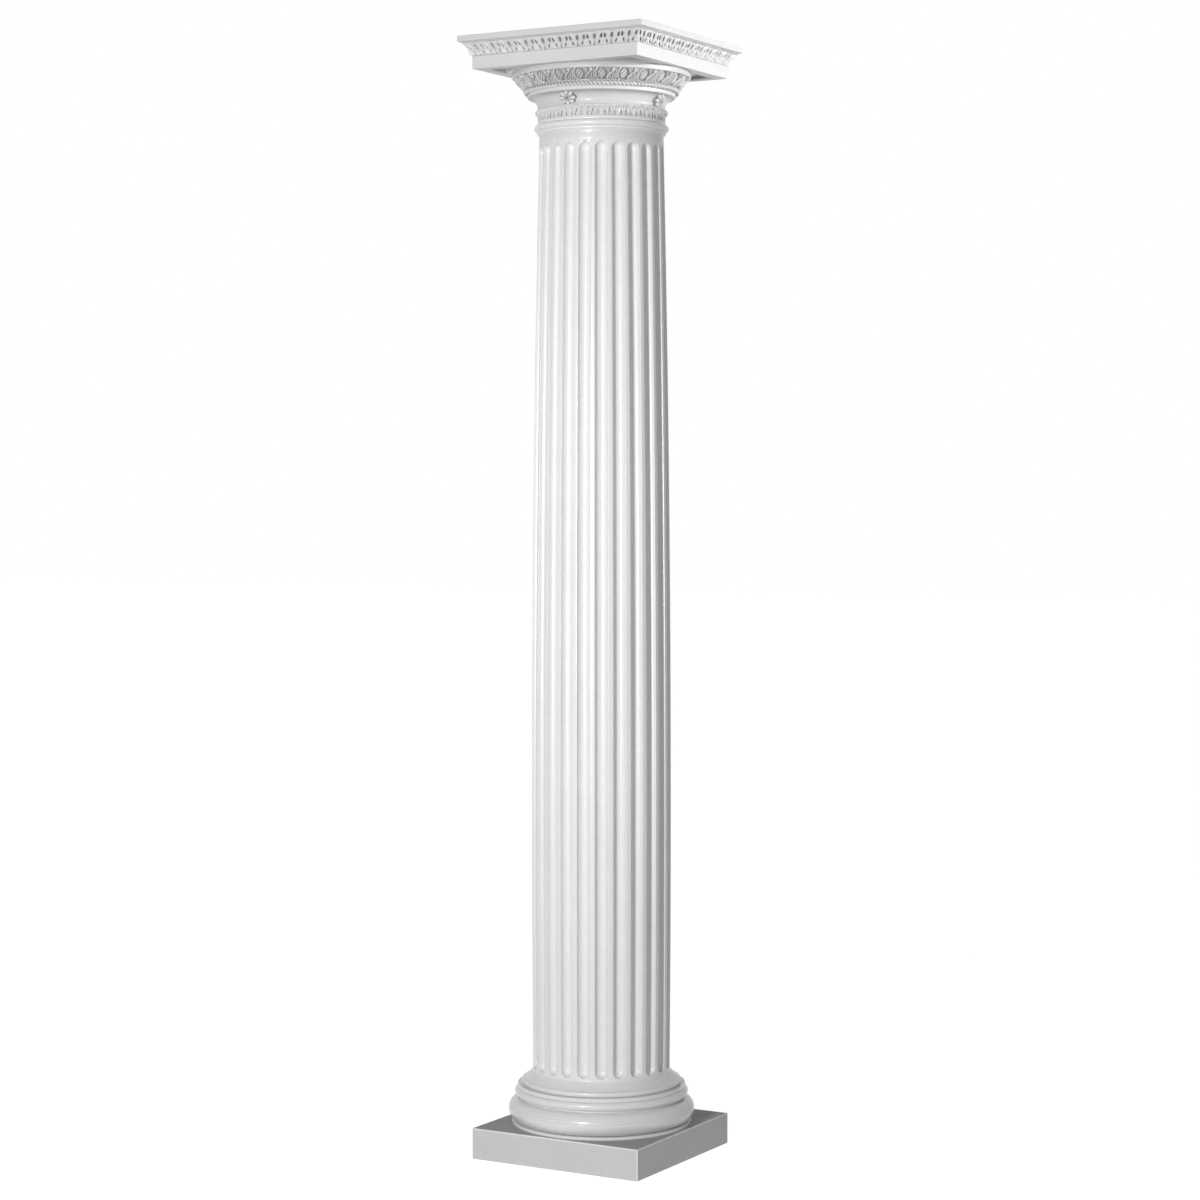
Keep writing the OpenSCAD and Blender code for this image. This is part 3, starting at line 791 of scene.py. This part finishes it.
def cymaRelief(look, u, v):
    # u runs across one unit, -0.5 to 0.5, and v up, 0 to 1: a face with two slots under an
    # arch, a leaf tip that curls out below them, and a small leaf on each side of the tip
    across = np.abs(u)
    height = look["faceHigh"] + look["faceWave"] * np.cos(u * turn)
    slotUp = (v - look["slotLevel"]) / look["slotTall"]
    slot = np.hypot((across - look["slotAt"]) / look["slotHalf"], slotUp)
    height = height - look["slotDeep"] * smooth(-slot, -1.05, -0.65)
    besideUp = (v - look["besideLevel"]) / look["besideTall"]
    beside = np.hypot((0.5 - across) / look["besideHalf"], besideUp)
    height = height - look["besideDeep"] * smooth(-beside, -1.05, -0.60)
    arch = np.hypot(u / look["archHalf"], (v - look["archLevel"]) / look["archTall"])
    arch = np.abs(arch - 1) * look["archHalf"]
    arch = look["archHigh"] * ridge(arch, look["archThick"]) * smooth(v, 0.52, 0.66)
    height = np.maximum(height, arch)
    # the cuts beside the tip slant inwards as they go up
    cutOff = across - look["cutAt"] - 0.20 * (look["cutAt"] - v)
    cut = np.hypot(cutOff / look["cutHalf"], (v - look["cutAt"]) / look["cutTall"])
    height = height - look["cutDeep"] * smooth(-cut, -1.05, -0.55)
    tipHalf = look["tipHalf"] + look["tipWidens"] * np.clip(look["tipTop"] - v, 0.0, 1)
    tip = look["tipHigh"] * ridge(u / tipHalf, 1) * smooth(-v, -0.46, -0.32)
    height = np.maximum(height, tip * smooth(v, 0.03, 0.12))
    smallOff = across - look["smallAt"] + 0.25 * (v - 0.2)
    small = np.hypot(smallOff / look["smallHalf"], (v - look["smallLevel"]) / look["smallTall"])
    height = np.maximum(height, look["smallHigh"] * ridge(small, 1))
    rising = look["notchRun"] * v
    notch = smooth(-np.abs(0.5 - across) / look["notchHalf"], -1 + rising, -0.4 + rising)
    height = height * (1 - look["notchDeep"] * notch)
    height = np.where(v > look["rimLevel"], np.maximum(height, look["rimHigh"]), height)
    return np.maximum(height, look["footHigh"] * smooth(-v, -0.045, -0.02))


def makeCyma(look, abacus):
    low = levels("abacus")[0]
    perSide = look["units"] * look["columnsPerUnit"]
    place = np.linspace(-1, 1, perSide + 1)
    core, way = squareColumns(place, 3)
    profile = evenly(cymaProfile(abacus, low, 60), look["rows"])[0]
    # the leaves' places along each side, and the same leaf wraps each corner
    side = np.r_[place, np.full(2, 1.0)]
    cell = ((np.tile(side, 4) + 1) * look["units"] / 2 + 0.5) % 1 - 0.5
    v = np.linspace(0, 1, look["rows"])[:, None]
    relief = cymaRelief(look, cell[None, :] + 0 * v, v + 0 * cell) - look["depth"]
    half, level = carvedLoop(profile, relief, look["back"])
    x, y = squareGrid(half, abacus["corner"], core, way)
    # painted shade in the deep cuts and a painted dark line along the foot
    hollow = np.maximum(smooth(-relief, look["shallow"], look["deepest"]),
                        look["lineShade"] * smooth(-v, -0.05, -0.02))
    return gridPiece("carvedCyma", x, y, level, shadedOrnamentPaint, ["abacus"],
                     hollow=withPlainBack(hollow, len(level)))


makeCyma(cymaLook, abacusLook)
print("column made")


studio = {
    "floorSize": 60.0, "floorGlow": 0.935, "floorSeen": 0.55, "floorBounce": 0.40, "floorFill": 0.20,
    "sky": 0.78, "skyTurn": 0.28,
    "keyAngle": 7.0, "keyDistance": 3.8, "keyHeight": 1.45, "keyAim": 1.35, "keyWide": 0.4,
    "keyTall": 1.1,
    "keySpread": 120.0, "keyWatts": 43.0,
    "capAngle": 112.0, "capDistance": 1.6, "capHeight": 2.53, "capAim": 2.36, "capWide": 0.75,
    "capTall": 0.17, "capSpread": 4.0, "capWatts": 0.40,
    "cameraAngle": 30.0, "cameraDistance": 6.27, "cameraHeight": 1.46, "lens": 85.5,
    "shiftX": -0.00125, "shiftY": -0.094,
}


def standingAt(angle, distance, height):
    # a place round the column: angle 0 is straight in front, and it grows towards +X
    a = np.radians(angle)
    return (distance * np.sin(a), -distance * np.cos(a), height)


def makeFloor(look):
    half = look["floorSize"] / 2
    mesh = bpy.data.meshes.new("floor")
    mesh.from_pydata([(-half, -half, 0), (half, -half, 0), (half, half, 0), (-half, half, 0)], [],
                     [(0, 1, 2, 3)])
    floor = bpy.data.objects.new("floor", mesh)
    bpy.context.scene.collection.objects.link(floor)
    material = bpy.data.materials.new("pale floor")
    material.use_nodes = True
    nodes, links = material.node_tree.nodes, material.node_tree.links
    nodes.remove(nodes["Principled BSDF"])
    seen, bounce = nodes.new("ShaderNodeBsdfDiffuse"), nodes.new("ShaderNodeBsdfDiffuse")
    seen.inputs["Color"].default_value = (look["floorSeen"],) * 3 + (1,)
    bounce.inputs["Color"].default_value = (look["floorBounce"],) * 3 + (1,)
    glow = nodes.new("ShaderNodeEmission")
    glow.inputs["Strength"].default_value = look["floorGlow"]
    both = nodes.new("ShaderNodeAddShader")
    links.new(seen.outputs[0], both.inputs[0])
    links.new(glow.outputs[0], both.inputs[1])
    fill = nodes.new("ShaderNodeEmission")
    fill.inputs["Strength"].default_value = look["floorFill"]
    back = nodes.new("ShaderNodeAddShader")
    links.new(bounce.outputs[0], back.inputs[0])
    links.new(fill.outputs[0], back.inputs[1])
    choose = nodes.new("ShaderNodeMixShader")
    links.new(showsBackdrop(nodes, links), choose.inputs[0])
    links.new(back.outputs[0], choose.inputs[1])
    links.new(both.outputs[0], choose.inputs[2])
    links.new(choose.outputs[0], nodes["Material Output"].inputs["Surface"])
    mesh.materials.append(material)


def showsBackdrop(nodes, links):
    # 1 for a ray from the camera, or one that reaches here by a mirror or through glass
    path = nodes.new("ShaderNodeLightPath")
    total = path.outputs["Is Camera Ray"]
    for kind in ("Is Glossy Ray", "Is Transmission Ray"):
        more = nodes.new("ShaderNodeMath")
        more.operation = "MAXIMUM"
        links.new(total, more.inputs[0])
        links.new(path.outputs[kind], more.inputs[1])
        total = more.outputs[0]
    return total


def makeWorld(look):
    world = bpy.data.worlds.new("pale room")
    bpy.context.scene.world = world
    world.use_nodes = True
    nodes, links = world.node_tree.nodes, world.node_tree.links
    light = nodes["Background"]
    light.inputs["Color"].default_value = (1, 1, 1, 1)
    # strength = sky * (1 - |height of the direction|) squared, so little comes from straight above
    place, split = nodes.new("ShaderNodeTexCoord"), nodes.new("ShaderNodeSeparateXYZ")
    links.new(place.outputs["Generated"], split.inputs[0])
    value = split.outputs["Z"]
    for operation, second in (("ABSOLUTE", 0), ("SUBTRACT", None), ("POWER", 2),
                              ("MULTIPLY", look["sky"])):
        step = nodes.new("ShaderNodeMath")
        step.operation = operation
        if second is None:
            step.inputs[0].default_value = 1
            links.new(value, step.inputs[1])
        else:
            links.new(value, step.inputs[0])
            step.inputs[1].default_value = second
        value = step.outputs[0]
    # and it is a little stronger from +X than from -X: times 1 + turn * X
    lean, tilted = nodes.new("ShaderNodeMath"), nodes.new("ShaderNodeMath")
    lean.operation, tilted.operation = "MULTIPLY_ADD", "MULTIPLY"
    links.new(split.outputs["X"], lean.inputs[0])
    lean.inputs[1].default_value, lean.inputs[2].default_value = look["skyTurn"], 1
    links.new(lean.outputs[0], tilted.inputs[0])
    links.new(value, tilted.inputs[1])
    links.new(tilted.outputs[0], light.inputs["Strength"])
    white = nodes.new("ShaderNodeBackground")
    white.inputs["Color"].default_value = (1, 1, 1, 1)
    choose = nodes.new("ShaderNodeMixShader")
    links.new(showsBackdrop(nodes, links), choose.inputs[0])
    links.new(light.outputs[0], choose.inputs[1])
    links.new(white.outputs[0], choose.inputs[2])
    links.new(choose.outputs[0], nodes["World Output"].inputs["Surface"])


def areaLamp(name, place, target, wide, tall, watts, spread):
    lamp = bpy.data.lights.new(name, "AREA")
    lamp.shape = "RECTANGLE"
    lamp.size, lamp.size_y = wide, tall
    lamp.energy = watts
    lamp.spread = np.radians(spread)
    stand = bpy.data.objects.new(name, lamp)
    bpy.context.scene.collection.objects.link(stand)
    stand.location = place
    aim = np.subtract(target, place)
    flat = np.hypot(aim[0], aim[1])
    stand.rotation_euler = (np.pi / 2 + np.arctan2(aim[2], flat), 0, np.arctan2(-aim[0], aim[1]))
    return stand


def makeCamera(look):
    camera = bpy.data.cameras.new("camera")
    camera.lens = look["lens"]
    camera.sensor_width = 36
    camera.shift_x, camera.shift_y = look["shiftX"], look["shiftY"]
    camera.clip_end = 200
    view = bpy.data.objects.new("camera", camera)
    bpy.context.scene.collection.objects.link(view)
    view.location = standingAt(look["cameraAngle"], look["cameraDistance"], look["cameraHeight"])
    view.rotation_euler = (np.pi / 2, 0, np.radians(look["cameraAngle"]))
    bpy.context.scene.camera = view


makeFloor(studio)
makeWorld(studio)
areaLamp("key softbox", standingAt(studio["keyAngle"], studio["keyDistance"], studio["keyHeight"]),
         (0, 0, studio["keyAim"]), studio["keyWide"], studio["keyTall"], studio["keyWatts"],
         studio["keySpread"])
areaLamp("capital softbox", standingAt(studio["capAngle"], studio["capDistance"], studio["capHeight"]),
         (0, 0, studio["capAim"]), studio["capWide"], studio["capTall"], studio["capWatts"],
         studio["capSpread"])
makeCamera(studio)
bpy.context.scene.view_settings.view_transform = "Standard"
print("studio set")
